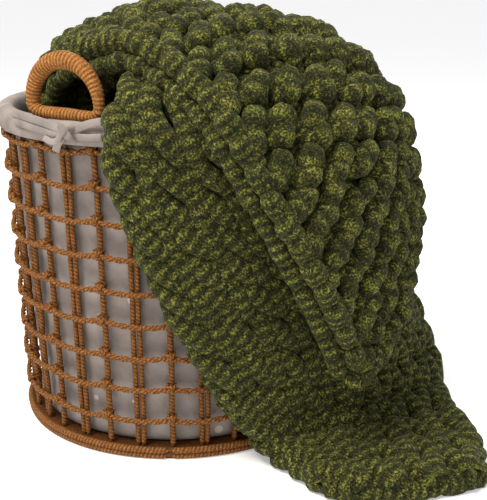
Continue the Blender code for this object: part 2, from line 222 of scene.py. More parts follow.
# %% [markdown]
# ## The throw's surface
# A heavy knit falls in big soft curves, and all of its loops lie on one sheet. The CAD model has
# that sheet as a table of sections: from the hem on the floor, up the wall of the basket, over
# its rim, down into a few folds, up again at the left and over the heap. The same table is used
# here, on a finer grid, so that the yarn lies where the solid does.

# %% The same named sizes as the CAD model's
BASKET_HEIGHT, FOOT_RADIUS, TOP_RADIUS = 0.372, 0.188, 0.202
CLOTH_THICK = 0.024
LAYERS, LAYER_PITCH, LAYER_TURN, LAYER_REACH, LAYER_WAVE = 4, 0.064, 50.0, 0.168, 0.003
LAYER_LEFT_ENDS = (0.103, 0.115, 0.115, 0.090)
FOLD_LOW, FOLD_TOPS, FOLD_END_DROP, OUTER_LAYER_TOP = 0.0335, (0.424, 0.408), 0.030, 0.36
HEAP_OUT = (0.0, 0.06, 0.12, 0.17, 0.21, 0.243, 0.264, 0.275, 0.281, 0.287, 0.291, 0.293)
HEAP_UP = (0.478, 0.475, 0.465, 0.446, 0.420, 0.386, 0.345, 0.30, 0.24, 0.17, 0.11, 0.05)
HEAP_LIFT, HEAP_PUSH, HEAP_LIFT_ANGLE, HEAP_LIFT_SPREAD = 0.021, 0.015, 33.0, 55.0
HEAP_LIFT_REACH, HEAP_LIFT_DEPTH = 0.21, 0.075
HEAP_PUSH_START, HEAP_PUSH_RAMP = 0.20, 0.08
HEAP_LEFT_START, HEAP_LEFT_FALL = -0.030, 8.0
# Left edge, middle and right edge, each as angle round the basket, distance from it and height
WALL_SECTIONS = (
    ((31.1, 0.319, 0.012), (40.7, 0.368, 0.012), (53.8, 0.415, 0.012)),
    ((29.5, 0.267, 0.012), (45.0, 0.312, 0.012), (64.6, 0.387, 0.012)),
    ((26.8, 0.224, 0.016), (49.0, 0.256, 0.013), (73.5, 0.354, 0.012)),
    ((20.0, 0.212, 0.050), (50.0, 0.232, 0.040), (84.0, 0.331, 0.018)),
    ((11.0, 0.212, 0.100), (49.0, 0.227, 0.095), (95.0, 0.313, 0.058)),
    ((-1.0, 0.214, 0.190), (46.0, 0.221, 0.185), (97.0, 0.278, 0.128)),
    ((-9.0, 0.216, 0.258), (38.0, 0.218, 0.255), (90.0, 0.250, 0.225)),
    ((-14.0, 0.217, 0.320), (29.0, 0.218, 0.320), (77.0, 0.230, 0.300)),
    ((-14.5, 0.221, 0.371), (24.0, 0.2215, 0.368), (64.0, 0.222, 0.365)),
    ((-14.0, 0.197, 0.396), (22.0, 0.198, 0.3950), (59.0, 0.198, 0.3940)),
    ((-9.0, 0.163, 0.395), (25.0, 0.160, 0.387), (61.0, 0.163, 0.384)),
)
RISING_SECTION = ((-0.137, -0.080, 0.376), (-0.128, 0.020, 0.398), (-0.090, 0.113, 0.386))
# Left edge, middle and right edge on the heap laid flat, across and away from its crown
HEAP_SECTIONS = (
    ((-0.061, -0.171), (-0.040, -0.02), (-0.015, 0.130)),
    ((0.000, -0.226), (0.030, -0.05), (0.035, 0.135)),
    ((0.060, -0.281), (0.115, -0.08), (0.100, 0.115)),
    ((0.124, -0.341), (0.200, -0.11), (0.170, 0.100)),
    ((0.205, -0.384), (0.280, -0.15), (0.240, 0.090)),
    ((0.285, -0.412), (0.360, -0.20), (0.300, 0.075)),
    ((0.351, -0.428), (0.425, -0.25), (0.345, 0.060)),
)
print(len(WALL_SECTIONS), "sections on the wall,", len(HEAP_SECTIONS), "on the heap")


# %% Sections to a smooth sheet
def polar(angle, out, up):
    """x = out sin(angle), y = -out cos(angle), z = up."""
    turn = np.radians(angle)
    return np.stack([out * np.sin(turn), -out * np.cos(turn), up + 0.0 * turn], axis=-1)


def smooth_through(rows, steps):
    """Catmull-Rom: half of 2b + (c - a)t + (2a - 5b + 4c - d)t^2 + (3b - a - 3c + d)t^3."""
    rows = np.asarray(rows, float)
    padded = np.concatenate([2 * rows[:1] - rows[1:2], rows, 2 * rows[-1:] - rows[-2:-1]])
    shape = (-1,) + (1,) * (rows.ndim - 1)
    made = []
    for span, count in enumerate(steps):
        a, b, c, d = padded[span:span + 4]
        t = np.linspace(0.0, 1.0, count, endpoint=False).reshape(shape)
        made.append(0.5 * (2 * b + (c - a) * t + (2 * a - 5 * b + 4 * c - d) * t ** 2
                           + (3 * b - a - 3 * c + d) * t ** 3))
    return np.concatenate(made + [rows[-1:]])


def across_blend(section, share):
    """The quadratic curve through a section's left edge, middle and right edge."""
    left, middle, right = (np.asarray(p, float) for p in section)
    u = share[:, None]
    return (2 * u - 1) * (u - 1) * left + 4 * u * (1 - u) * middle + u * (2 * u - 1) * right


def heap_point(flat):
    """A point of the heap's outer face: its profile, as far along it as the point is from the crown."""
    profile = smooth_through(np.stack([HEAP_OUT, HEAP_UP], axis=1), [12] * (len(HEAP_OUT) - 1))
    length = np.concatenate([[0.0], np.cumsum(np.linalg.norm(np.diff(profile, axis=0), axis=1))])
    reach = np.linalg.norm(flat, axis=-1)
    angle = np.degrees(np.arctan2(flat[..., 0], -flat[..., 1]))
    double = np.exp(-((angle - HEAP_LIFT_ANGLE) / HEAP_LIFT_SPREAD) ** 2)
    out = np.interp(reach, length, profile[:, 0])
    up = np.interp(reach, length, profile[:, 1])
    out = out + HEAP_PUSH * double * np.clip((reach - HEAP_PUSH_START) / HEAP_PUSH_RAMP, 0.0, 1.0)
    up = up + HEAP_LIFT * double * np.exp(-((reach - HEAP_LIFT_REACH) / HEAP_LIFT_DEPTH) ** 2)
    up = up - HEAP_LEFT_FALL * np.minimum(flat[..., 0] - HEAP_LEFT_START, 0.0) ** 2
    return polar(angle, out, up)


def fold_sections(share):
    """Upright layers side by side, joined by round bends at the bottom and the top in turn."""
    turn = np.radians(LAYER_TURN)
    stack = np.array([np.sin(turn), -np.cos(turn)])
    run = np.array([np.cos(turn), np.sin(turn)])
    bend = LAYER_PITCH / 2
    places = LAYER_PITCH * ((LAYERS - 1) / 2 - np.arange(LAYERS))
    made = []

    def section(place, up):
        right = np.sqrt(LAYER_REACH ** 2 - (abs(place) + CLOTH_THICK / 2) ** 2)
        left = min(right, np.interp(place, places[::-1], LAYER_LEFT_ENDS[::-1]))
        wave = place + LAYER_WAVE * np.sin(2 * np.pi * (share + up / BASKET_HEIGHT))
        flat = np.outer(wave, stack) + np.outer(-left + (left + right) * share, run)
        drop = FOLD_END_DROP * (2 * share - 1) ** 2
        made.append(np.column_stack([flat, up - drop * (up > BASKET_HEIGHT / 2)]))

    for layer, place in enumerate(places):
        down = layer % 2 == 0
        top, low = FOLD_TOPS[max(0, (layer - 1) // 2) % 2] - bend, FOLD_LOW + bend
        for up in (top, low) if down else (low, top):
            if up < OUTER_LAYER_TOP or layer not in (0, LAYERS - 1):
                section(place, up)
        if layer < LAYERS - 1:
            for t in np.pi * np.arange(1, 3) / 3:
                rise = bend * np.sin(t)
                section(place - bend + bend * np.cos(t), low - rise if down else top + rise)
    return made


def normals_of(sheet):
    """Unit normals of a grid: the cross product of its steps across and along."""
    made = np.cross(np.gradient(sheet, axis=1), np.gradient(sheet, axis=0))
    return made / np.linalg.norm(made, axis=2)[:, :, None]


# %% The whole sheet, evenly spaced across
SHARES, SHEET_STEP, TURN_ROWS = 33, 0.006, 10.0
share = np.linspace(0.0, 1.0, SHARES)
wall = [polar(*across_blend(section, share).T) for section in WALL_SECTIONS]
folds = fold_sections(share)
heap = [across_blend(RISING_SECTION, share)]
heap += [heap_point(across_blend(section, share)) for section in HEAP_SECTIONS]
sections = np.array(wall + folds + heap)
FIRST_FOLD, LAST_FOLD = len(wall) - 1, len(wall) + len(folds)
spans = np.linalg.norm(np.diff(sections.mean(axis=1), axis=0), axis=1)
steps = np.maximum(4, np.round(spans / SHEET_STEP)).astype(int)
sheet = smooth_through(sections, steps)
heap_start = steps[:LAST_FOLD].sum()
sink = np.zeros(len(sheet))
sink[heap_start:] = np.clip(np.arange(len(sheet) - heap_start) / TURN_ROWS, 0.0, 1.0)
sheet = sheet + normals_of(sheet) * (sink * CLOTH_THICK / 2)[:, None, None]
along = np.concatenate([[0.0], np.cumsum(np.linalg.norm(np.diff(sheet.mean(axis=1), axis=0), axis=1))])
breadth = np.linalg.norm(np.diff(sheet, axis=1), axis=2)
reach_across = np.concatenate([np.zeros((len(sheet), 1)), np.cumsum(breadth, axis=1)], axis=1)
WIDTHS = reach_across[:, -1]
even = np.stack([np.stack([np.interp(share * total, cum, row[:, k]) for k in range(3)], axis=1)
                 for total, cum, row in zip(WIDTHS, reach_across, sheet)])
even_normal = normals_of(even)
V_RIM = along[steps[:FIRST_FOLD].sum()]
V_HEAP = along[heap_start]
V_END = along[-1]
print(f"the throw is {V_END:.2f} m long, {WIDTHS.min():.2f} to {WIDTHS.max():.2f} m wide as it lies")


def on_sheet(v, u, lift=0.0):
    """Points of the sheet at v metres along it and the share u across, raised along its normal."""
    row = np.interp(v, along, np.arange(len(along)))
    i = np.clip(row.astype(int), 0, len(along) - 2)
    column = np.clip(u, 0.0, 1.0) * (len(share) - 1)
    k = np.clip(column.astype(int), 0, len(share) - 2)
    a, b = (row - i)[..., None], (column - k)[..., None]

    def blend(grid):
        return ((1 - a) * ((1 - b) * grid[i, k] + b * grid[i, k + 1])
                + a * ((1 - b) * grid[i + 1, k] + b * grid[i + 1, k + 1]))

    normal = blend(even_normal)
    normal /= np.linalg.norm(normal, axis=-1)[..., None]
    return blend(even) + normal * np.asarray(lift)[..., None], normal


# %% [markdown]
# ## Chenille yarn
# Chenille is a core thread with a short dense pile all round it, so a thick yarn looks like a
# soft sausage of dotted rings. The pile is far too fine to build, so fine noise drives the bump
# and the colour, with faint rings along the yarn from its own UV map. The colour is painted
# shade and light over the yarn's own olive green: near black where the pile is low between
# tufts, bright where it stands high. Sheen gives the pale bloom that pile has where light grazes it.

# %% Chenille material
chenille, tree, shader = new_material("chenille_pile", 0.95)
place = add_node(tree, "ShaderNodeTexCoord")
uv = add_node(tree, "ShaderNodeUVMap", uv_map="UVMap")
tufts = add_node(tree, "ShaderNodeTexNoise", [("Vector", place.outputs["Object"])],
                 scale=1000 / 2.2, detail=2.0, roughness=0.6)
patches = add_node(tree, "ShaderNodeTexNoise", [("Vector", place.outputs["Object"])],
                   scale=1000 / 42.0, detail=2.0)
rings = add_node(tree, "ShaderNodeTexWave", [("Vector", uv.outputs["UV"])],
                 bands_direction="X", scale=1000 / 3.4 / 20 * 2, distortion=1.6, detail=2.0)
rings.inputs["Detail Scale"].default_value = 2.0
mixed = add_node(tree, "ShaderNodeMix", [("A", tufts.outputs["Fac"]), ("B", rings.outputs["Fac"])],
                 data_type="FLOAT")
mixed.inputs["Factor"].default_value = 0.14
# Painted shade and light: the pile's height runs from near black in the gaps between tufts to bright on the
# high tips, over the yarn's own olive green
pile_green_with_painted_shade_and_light = ramp(tree, mixed.outputs["Result"], (0.34, "#080903"), (0.46, "#26260c"),
                   (0.57, "#474718"), (0.71, "#8f9040"))
tone = ramp(tree, patches.outputs["Fac"], (0.3, "#d8dcc8"), (0.7, "#ffffff"))
tinted = add_node(tree, "ShaderNodeMix", data_type="RGBA", blend_type="MULTIPLY")
tinted.inputs["Factor"].default_value = 1.0
tree.links.new(pile_green_with_painted_shade_and_light.outputs["Color"], tinted.inputs["A"])
tree.links.new(tone.outputs["Color"], tinted.inputs["B"])
tree.links.new(tinted.outputs["Result"], shader.inputs["Base Color"])
pile_bump = add_node(tree, "ShaderNodeBump", [("Height", mixed.outputs["Result"])],
                     strength=1.0, distance=0.0030)
tree.links.new(pile_bump.outputs["Normal"], shader.inputs["Normal"])
shader.inputs["Sheen Weight"].default_value = 0.10
shader.inputs["Sheen Roughness"].default_value = 0.6
shader.inputs["Sheen Tint"].default_value = (*srgb("#b8c48a"), 1.0)
shader.inputs["Specular IOR Level"].default_value = 0.2
print("material", chenille.name)

# %% [markdown]
# ## Knitted loops
# In stocking stitch each row is one yarn that goes up and down in loops, and each loop is pulled
# through the one below. One formula draws a whole row: across, the yarn runs back on itself by a
# sine of twice the angle; along, it goes up and down by a cosine; and its depth is a cosine of
# twice the angle, so the legs stand out on one face and the heads on the other. The yarn swells
# between crossings, where nothing squeezes it. Real hand knitting is uneven, so slow waves shift
# every loop a little.

# %% Yarn sizes
YARN = 0.0106
WALE = 0.040
COURSE, COURSE_WALL = 0.0300, 0.0400
LOOP_HIGH, LOOP_HIGH_WALL = 0.0285, 0.0360
LOOP_BACK = (0.235, 0.15)
LOOP_DEPTH = (0.0095, 0.0085)
LEG_SKEW = 0.26
HEAD_LEAN = 0.0068
ROW_SLANT = 0.72
SLANT_RAMP = 0.24
EDGE_ROOM = 0.012


def wobble(a, b, seed):
    """Slow uneven waves between -1 and 1: three sines of two variables, with seeded phases."""
    phase = np.random.default_rng(seed).uniform(0, 2 * np.pi, 3)
    return (np.sin(1.7 * a + 2.3 * b + phase[0]) + np.sin(2.9 * a - 1.1 * b + phase[1])
            + np.sin(0.8 * a - 3.7 * b + phase[2])) / 3.0


def row_slant(v):
    """How far along the cloth a row moves for each metre across. The heap's weight drags it."""
    share = np.clip((v - V_HEAP) / SLANT_RAMP, 0.0, 1.0)
    return ROW_SLANT * share * share * (3.0 - 2.0 * share)


def row_starts():
    """Where each row leaves the left edge. Slanted rows start further apart along it."""
    starts = [0.75 * COURSE]
    while starts[-1] < V_END - COURSE:
        course = COURSE_WALL if starts[-1] < V_RIM else COURSE
        starts.append(starts[-1] + course * np.sqrt(1.0 + row_slant(starts[-1]) ** 2))
    return np.array(starts)


def knit_row(number, start, samples, sides):
    """One row of loops, as a tube's grid of points. Its face side shows up to the heap.

    across = t / 2pi + back sin 2t + skew cos t, along = -high cos t - lean sin 2t,
    lift = -depth cos 2t. The yarn is thicker where it stands out.
    """
    width = np.interp(start, along, WIDTHS)
    slant = row_slant(start)
    inset = EDGE_ROOM / width
    last = 1.0 - inset
    if slant > 0.0:
        last = min(last, inset + (V_END - 0.012 - start) / (slant * width))
    length = (last - inset) * width * np.sqrt(1.0 + slant ** 2)
    stitches = max(1, int(round(length / WALE)))
    turned = np.clip((start - V_HEAP + 0.02) / 0.05, 0.0, 1.0)
    back = LOOP_BACK[0] + (LOOP_BACK[1] - LOOP_BACK[0]) * turned
    depth = LOOP_DEPTH[0] + (LOOP_DEPTH[1] - LOOP_DEPTH[0]) * turned
    t = 2 * np.pi * np.arange(stitches * samples + 1) / samples
    stitch = t / (2 * np.pi)
    across = stitch + back * np.sin(2 * t) + LEG_SKEW * (1 - turned) * np.cos(t)
    u = inset + (last - inset) * across / stitches + 0.0035 / width * wobble(2.1 * stitch, 1.3 * number, 1)
    high = LOOP_HIGH_WALL if start < V_RIM else LOOP_HIGH
    high = high * (1.0 + 0.14 * wobble(1.7 * stitch, 2.1 * number, 2))
    v = start + slant * width * (u - inset) - high * np.cos(t) - HEAD_LEAN * turned * np.sin(2 * t)
    v = np.clip(v + 0.0045 * wobble(1.3 * stitch, 0.9 * number, 3), 0.006, V_END - 0.006)
    lift = 0.002 * (1 - 2 * turned) - depth * np.cos(2 * t) + 0.0022 * wobble(1.9 * stitch, 1.7 * number, 4)
    path, normal = on_sheet(v, np.clip(u, 0.012, 0.988), lift)
    outer = np.cos(2 * t) * (2 * turned - 1)
    radius = YARN * (1.0 + 0.13 * outer + 0.09 * wobble(2.3 * stitch, 1.9 * number, 5))
    rough = np.random.default_rng(number).normal(0.0, 0.03, (len(t), sides))
    return tube(path, normal, radius, sides, 1.0 + rough)


STARTS = row_starts()


def knit_piece(name, v_from, v_to, samples, sides):
    """The rows that start between two places, as one piece, which rests on the floor."""
    numbers = np.flatnonzero((STARTS >= v_from) & (STARTS < v_to))
    grids = [knit_row(number, STARTS[number], samples, sides) for number in numbers]
    points, quads, uvs = join_tubes(grids)
    points[:, 2] = np.maximum(points[:, 2], 0.0)
    made = add_piece(name, points, quads, chenille, uvs)
    return made


print(len(STARTS), "rows of loops")

# %% Knit the throw
FINE, COARSE = (30, 13), (14, 8)
throw_pieces = [
    knit_piece("throw_floor", 0.0, 0.5 * V_RIM, *FINE),
    knit_piece("throw_wall", 0.5 * V_RIM, V_RIM + 0.03, *FINE),
    knit_piece("throw_folds", V_RIM + 0.03, V_HEAP - 0.08, *COARSE),
    knit_piece("throw_heap_left", V_HEAP - 0.08, V_HEAP + 0.2, *FINE),
    knit_piece("throw_heap_right", V_HEAP + 0.2, V_END, *FINE),
]


# %% [markdown]
# ## Edges of the throw
# The long edges and the hems are bound off in a chain: plump lengths of yarn, each lying over the
# end of the next like roof tiles. One length is a tube whose radius is R (1 - (2q - 1)^4)^0.5,
# q from 0 to 1 along it. It leans a little off the edge, and its far end sinks under the next.

# %% Overlapping lengths of yarn
def lengths(line, normal, spacing, long, thick, lean, sink, seed, rings=14, sides=12):
    """Tubes of `long` metres every `spacing` metres along a line, turned by `lean` degrees."""
    random = np.random.default_rng(seed)
    step = np.concatenate([[0.0], np.cumsum(np.linalg.norm(np.diff(line, axis=0), axis=1))])
    q = np.linspace(0.0, 1.0, rings)
    across = 2.0 * q - 1.0
    swell = np.sqrt(np.clip(1.0 - np.abs(across) ** 4, 0.0025, 1.0))
    grids = []
    for middle in np.arange(0.5 * spacing, step[-1], spacing):
        middle = middle + spacing * random.uniform(-0.08, 0.08)
        s_line = np.clip(middle + long * across / 2 * np.cos(np.radians(lean)), 0.0, step[-1])
        centre = np.stack([np.interp(s_line, step, line[:, k]) for k in range(3)], axis=1)
        upward = np.stack([np.interp(s_line, step, normal[:, k]) for k in range(3)], axis=1)
        ahead = np.gradient(centre, axis=0)
        ahead /= np.linalg.norm(ahead, axis=1)[:, None] + 1e-9
        side = np.cross(ahead, upward)
        sway = long / 2 * np.sin(np.radians(lean + random.uniform(-4, 4)))
        path = centre + side * (sway * across)[:, None]
        path = path + upward * (-sink * across - 0.5 * abs(sink) * across ** 2)[:, None]
        rough = random.normal(0.0, 0.028, (rings, sides))
        size = thick * random.uniform(0.92, 1.08) * swell
        grids.append(tube(path, upward[0], size, sides, 1.0 + rough))
    return grids


def edge_line(v_from, v_to, side, inset, lift, step=0.0035):
    """A line along one edge of the sheet, inset metres inside it."""
    v = np.linspace(v_from, v_to, max(8, int(abs(v_to - v_from) / step)))
    share_in = inset / np.interp(v, along, WIDTHS)
    return on_sheet(v, share_in if side == "left" else 1.0 - share_in, np.full(len(v), lift))


def hem_line(v, lift, step=0.0035):
    """A line across the sheet, v metres along it."""
    width = np.interp(v, along, WIDTHS)
    u = np.linspace(0.02, 0.98, int(width / step))
    return on_sheet(np.full(len(u), v), u, np.full(len(u), lift))


def chain_piece(name, grids):
    """Lengths of a chain as one piece of yarn."""
    points, quads, uvs = join_tubes(grids)
    points[:, 2] = np.maximum(points[:, 2], 0.0)
    made = add_piece(name, points, quads, chenille, uvs)
    throw_pieces.append(made)


# %% Chains on the edges
# Side, inset and lift of each chain, then its spacing, length, radius, lean, sink and seed
WALL_CHAINS = (
    ("left", 0.012, 0.001, 0.031, 0.050, 0.0100, -14, 0.005, 21),
    ("left", 0.026, 0.004, 0.031, 0.046, 0.0095, 12, 0.004, 27),
    ("right", 0.012, 0.002, 0.031, 0.050, 0.0100, 12, 0.005, 22),
    ("right", 0.027, 0.004, 0.031, 0.046, 0.0095, -12, 0.004, 29),
)
HEAP_CHAINS = (
    ("left", 0.018, -0.009, 0.0275, 0.045, 0.0120, 15, -0.007, 23),
    ("left", 0.004, 0.006, 0.030, 0.047, 0.0100, -10, 0.004, 28),
    ("right", 0.012, -0.003, 0.030, 0.047, 0.0105, 12, -0.005, 24),
)
# Place along the sheet and lift of each chain across it, then the same as above
HEM_CHAINS = (
    (0.012, 0.002, 0.030, 0.060, 0.0105, 24, 0.005, 25),
    (0.004, -0.002, 0.040, 0.055, 0.0090, 0, 0.002, 30),
    (V_END - 0.012, -0.004, 0.030, 0.055, 0.0110, 20, -0.005, 26),
)


def edge_chains(v_from, v_to, chains):
    """The tubes of the chains that follow a long edge between two places."""
    return [grid for side, inset, lift, *chain in chains
            for grid in lengths(*edge_line(v_from, v_to, side, inset, lift), *chain)]


chain_piece("edge_wall", edge_chains(0.0, V_RIM + 0.03, WALL_CHAINS))
chain_piece("edge_heap", edge_chains(V_HEAP - 0.06, V_END, HEAP_CHAINS))
chain_piece("hems", [grid for v, lift, *chain in HEM_CHAINS
                     for grid in lengths(*hem_line(v, lift), *chain)])
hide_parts("blanket")

# %% [markdown]
# ## Jute
# Jute fibre is coarse and shiny brown, laid into cord in a slant. Stripes across a cord's own UV
# map, pushed about by noise, give the lay. Fine noise mixed with the stripes gives fibres.

# %% Jute material
def jute_material(name, dark, mid, light, turns):
    """Slanted stripes: a wave along (U + turns V), with fine noise over them."""
    made, tree, shader = new_material(name, 0.75)
    uv = add_node(tree, "ShaderNodeUVMap", uv_map="UVMap")
    slant = add_node(tree, "ShaderNodeMapping", [("Vector", uv.outputs["UV"])])
    slant.inputs["Rotation"].default_value = (0.0, 0.0, np.radians(35.0))
    slant.inputs["Scale"].default_value = (1000 / 3.6, turns, 1.0)
    lay = add_node(tree, "ShaderNodeTexWave", [("Vector", slant.outputs["Vector"])], scale=0.32,
                   distortion=2.2, detail=2.0)
    place = add_node(tree, "ShaderNodeTexCoord")
    fibre = add_node(tree, "ShaderNodeTexNoise", [("Vector", place.outputs["Object"])],
                     scale=1000 / 1.6, detail=3.0, roughness=0.65)
    both = add_node(tree, "ShaderNodeMix", [("A", fibre.outputs["Fac"]), ("B", lay.outputs["Fac"])],
                    data_type="FLOAT")
    both.inputs["Factor"].default_value = 0.22
    colour = ramp(tree, both.outputs["Result"], (0.25, dark), (0.5, mid), (0.75, light))
    tree.links.new(colour.outputs["Color"], shader.inputs["Base Color"])
    bump = add_node(tree, "ShaderNodeBump", [("Height", both.outputs["Result"])], strength=0.8,
                    distance=0.0008)
    tree.links.new(bump.outputs["Normal"], shader.inputs["Normal"])
    shader.inputs["Specular IOR Level"].default_value = 0.25
    return made


jute = jute_material("jute_cord", "#2a1506", "#6e4116", "#a87436", 3.0)
jute_wrap = jute_material("jute_wrapping", "#3c200a", "#84521f", "#ba8444", 1.0)


def wall_radius(up):
    """The net's outer radius at a height."""
    return FOOT_RADIUS + (TOP_RADIUS - FOOT_RADIUS) * up / BASKET_HEIGHT


def strand(path, radius, sides, bulge=1.0):
    """A tube whose rings stand square to the basket's axis direction."""
    outward = path * (1.0, 1.0, 0.0) + 1e-6
    return tube(path, outward, radius, sides, bulge * np.ones((len(path), sides)))


print("materials", jute.name, "and", jute_wrap.name)

# %% [markdown]
# ## The net
# Each row of the net is two strands twisted round each other, which sag between the knots. The
# uprights take turns: a single cord, then a pair side by side.

# %% The net
CORD, GAP, STAKE, STAKES, STAKE_START = 0.0066, 0.0003, 0.0070, 32, 1.0
NET_ROWS, NET_LOWEST, NET_PITCH, SAG = 9, 0.048, 0.0372, 0.0038
TWISTS, STRAND_SHIFT, STRAND, PAIR_SHIFT = 52, 0.0013, 0.0022, 1.05
net_tubes = []
around = np.linspace(0.0, 360.0, 577)
between = (around - STAKE_START) / (2 * 360.0 / STAKES) % 1.0
for number in range(NET_ROWS):
    drop = SAG * (1.0 - np.abs(2.0 * between - 1.0) ** 2.4)
    up = NET_LOWEST + NET_PITCH * number - drop + 0.0014 * wobble(np.radians(around) * 3, 0.0, 40 + number)
    middle = polar(around, wall_radius(up) - CORD / 2 + 0.0008, up)
    for start in (0.0, np.pi):
        turn = np.radians(around) * TWISTS + start
        twist = STRAND_SHIFT * (np.cos(turn)[:, None] * (0.0, 0.0, 1.0)
                                + np.sin(turn)[:, None] * polar(around, 1.0, 0.0))
        net_tubes.append(strand(middle + twist, STRAND, 6))
high_up = BASKET_HEIGHT - 0.024
for number in range(STAKES):
    angle = STAKE_START + 360.0 * number / STAKES
    up = np.linspace(0.010, high_up, 48)
    out = wall_radius(up) - CORD - GAP - STAKE / 2 + 0.0012
    for shift in ((0.0,) if number % 2 == 0 else (-PAIR_SHIFT, PAIR_SHIFT)):
        sway = 0.22 * wobble(up * 26, shift, 60 + number)
        path = polar(angle + shift + sway, out + 0.0006 * wobble(up * 40, shift, 90 + number), up)
        net_tubes.append(strand(path, 0.0033 if shift == 0.0 else 0.0029, 7))
points, quads, uvs = join_tubes(net_tubes)
net = add_piece("net_cords", points, quads, jute, uvs)
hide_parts(*[f"stake_{n + 1:02d}" for n in range(STAKES)],
            *[f"net_row_{n + 1}" for n in range(NET_ROWS)])

# %% Knots: two slanted wraps and one upright, where a row crosses a single upright
knot_tubes = []
ring = 2 * np.pi * np.arange(12) / 11
for number in range(NET_ROWS):
    for stake in range(0, STAKES, 2):
        angle = STAKE_START + 360.0 * stake / STAKES
        up = NET_LOWEST + NET_PITCH * number
        centre = polar(angle, wall_radius(up) - CORD / 2 - 0.0018, up)
        outward, tangent = polar(angle, 1.0, 0.0), polar(angle + 90.0, 1.0, 0.0)
        for lean, wide in ((38.0, 0.0062), (-42.0, 0.0058), (86.0, 0.0050)):
            lean_by = np.radians(lean)
            axis = np.cos(lean_by) * tangent + np.sin(lean_by) * np.array([0.0, 0.0, 1.0])
            path = (centre + wide * np.cos(ring)[:, None] * axis
                    + 0.0064 * np.sin(ring)[:, None] * outward)
            knot_tubes.append(tube(path, np.cross(axis, outward), 0.0021, 5))
points, quads, uvs = join_tubes(knot_tubes)
knots = add_piece("net_knots", points, quads, jute, uvs)

# %% [markdown]
# ## Base, rim and handles
# The base is cord coiled flat. The rim and the handles are rings of stiff core with thinner cord
# wrapped round them, so each wrap shows as a low rib.

# %% Base, rim and handles
COTTON_THICK, RIM_HALF = 0.0024, 0.0065
COILS = [(0.1855, 0.0040), (0.1865, 0.0105)] + [(0.180 - 0.0068 * k, 0.0065) for k in range(8)]
coil_tubes = []
for out, up in COILS:
    path = polar(np.linspace(0.0, 360.0, 181), out, np.full(181, up))
    coil_tubes.append(strand(path, 0.0037, 8))
points, quads, uvs = join_tubes(coil_tubes)
base_coil = add_piece("base_coil", points, quads, jute, uvs)
base_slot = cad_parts["base"].material_slots[0]
base_slot.link = "OBJECT"
base_slot.material = jute
rim_radius = TOP_RADIUS - COTTON_THICK - GAP - RIM_HALF
rim_height = BASKET_HEIGHT - COTTON_THICK - GAP - RIM_HALF
path = polar(np.linspace(0.0, 360.0, 241), rim_radius, np.full(241, rim_height))
points, quads, uvs = join_tubes([strand(path, 0.0064, 10)])
rim = add_piece("rim_wrapped", points, quads, jute_wrap, uvs)
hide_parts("rim")

HANDLE_ANGLES, HALF_WIDE, RISE, WRAP_PITCH = (-31.0, 149.0), 0.0435, 0.055, 0.0038
for number, angle in enumerate(HANDLE_ANGLES):
    arch = np.radians(np.linspace(-8.0, 188.0, 61))
    bar = np.linspace(-1.0, 1.0, 24)[1:-1]
    across = np.concatenate([HALF_WIDE * np.cos(arch), bar * (HALF_WIDE - 0.004)])
    height = np.concatenate([RISE - HALF_WIDE + HALF_WIDE * np.sin(arch), 0.0 * bar])
    across, height = np.append(across, across[0]), np.append(height, height[0])
    fine = np.linspace(0, len(across) - 1, 420)
    across, height = (np.interp(fine, np.arange(len(v)), v) for v in (across, height))
    soft = np.ones(9) / 9
    across, height = (np.convolve(np.concatenate([v[-5:-1], v, v[1:5]]), soft, "valid")
                      for v in (across, height))
    turn = np.radians(angle)
    level = np.array([np.cos(turn), np.sin(turn), 0.0])
    foot_middle = polar(angle, rim_radius, BASKET_HEIGHT + GAP + RIM_HALF)
    path = foot_middle + np.outer(across, level) + np.outer(height, (0.0, 0.0, 1.0))
    length = np.concatenate([[0.0], np.cumsum(np.linalg.norm(np.diff(path, axis=0), axis=1))])
    sides = 16
    wraps = np.abs(np.sin(np.pi * (length[:, None] / WRAP_PITCH + np.arange(sides) / sides)))
    thick = (0.0070 + 0.0026 * np.clip(height / RISE, 0.0, 1.0)
             - 0.0016 * np.clip(across / HALF_WIDE, 0, 1))
    grid = tube(path, np.cross(level, (0.0, 0.0, 1.0)), 1.0, sides, thick[:, None] * (0.95 + 0.07 * wraps))
    points, quads, uvs = join_tubes([grid])
    handle = add_piece(f"handle_wrapped_{number + 1}", points, quads, jute_wrap, uvs)
    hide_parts(f"handle_{number + 1}")

# %% [markdown]
# ## Cotton
# The liner is one cotton bag whose top is turned down over the rim. Its wall hangs in faint
# folds, always inwards, so that it never passes through the uprights, and its band is gathered.

# %% Cotton material
cotton, tree, shader = new_material("washed_cotton", 0.9)
place = add_node(tree, "ShaderNodeTexCoord")
weave = add_node(tree, "ShaderNodeTexNoise", [("Vector", place.outputs["Object"])], scale=1000 / 1.2,
                 detail=2.0)
creases = add_node(tree, "ShaderNodeTexNoise", [("Vector", place.outputs["Object"])],
                   scale=1000 / 24.0, detail=3.0)
spots = add_node(tree, "ShaderNodeTexVoronoi", [("Vector", place.outputs["Object"])],
                 scale=1000 / 44.0, randomness=0.7)
petals = add_node(tree, "ShaderNodeMath", [("Value", spots.outputs["Distance"])], operation="LESS_THAN")
petals.inputs[1].default_value = 0.11
cloth_colour = ramp(tree, creases.outputs["Fac"], (0.3, "#7c736d"), (0.7, "#978d86"))
printed = add_node(tree, "ShaderNodeMix", [("Factor", petals.outputs["Value"])], data_type="RGBA")
tree.links.new(cloth_colour.outputs["Color"], printed.inputs["A"])
printed.inputs["B"].default_value = (*srgb("#b3aaa4"), 1.0)
tree.links.new(printed.outputs["Result"], shader.inputs["Base Color"])
cotton_height = add_node(tree, "ShaderNodeMix", [("A", weave.outputs["Fac"]), ("B", creases.outputs["Fac"])],
                         data_type="FLOAT")
cotton_height.inputs["Factor"].default_value = 0.7
cotton_bump = add_node(tree, "ShaderNodeBump", [("Height", cotton_height.outputs["Result"])],
                       strength=0.6, distance=0.003)
tree.links.new(cotton_bump.outputs["Normal"], shader.inputs["Normal"])
shader.inputs["Specular IOR Level"].default_value = 0.2
print("material", cotton.name)

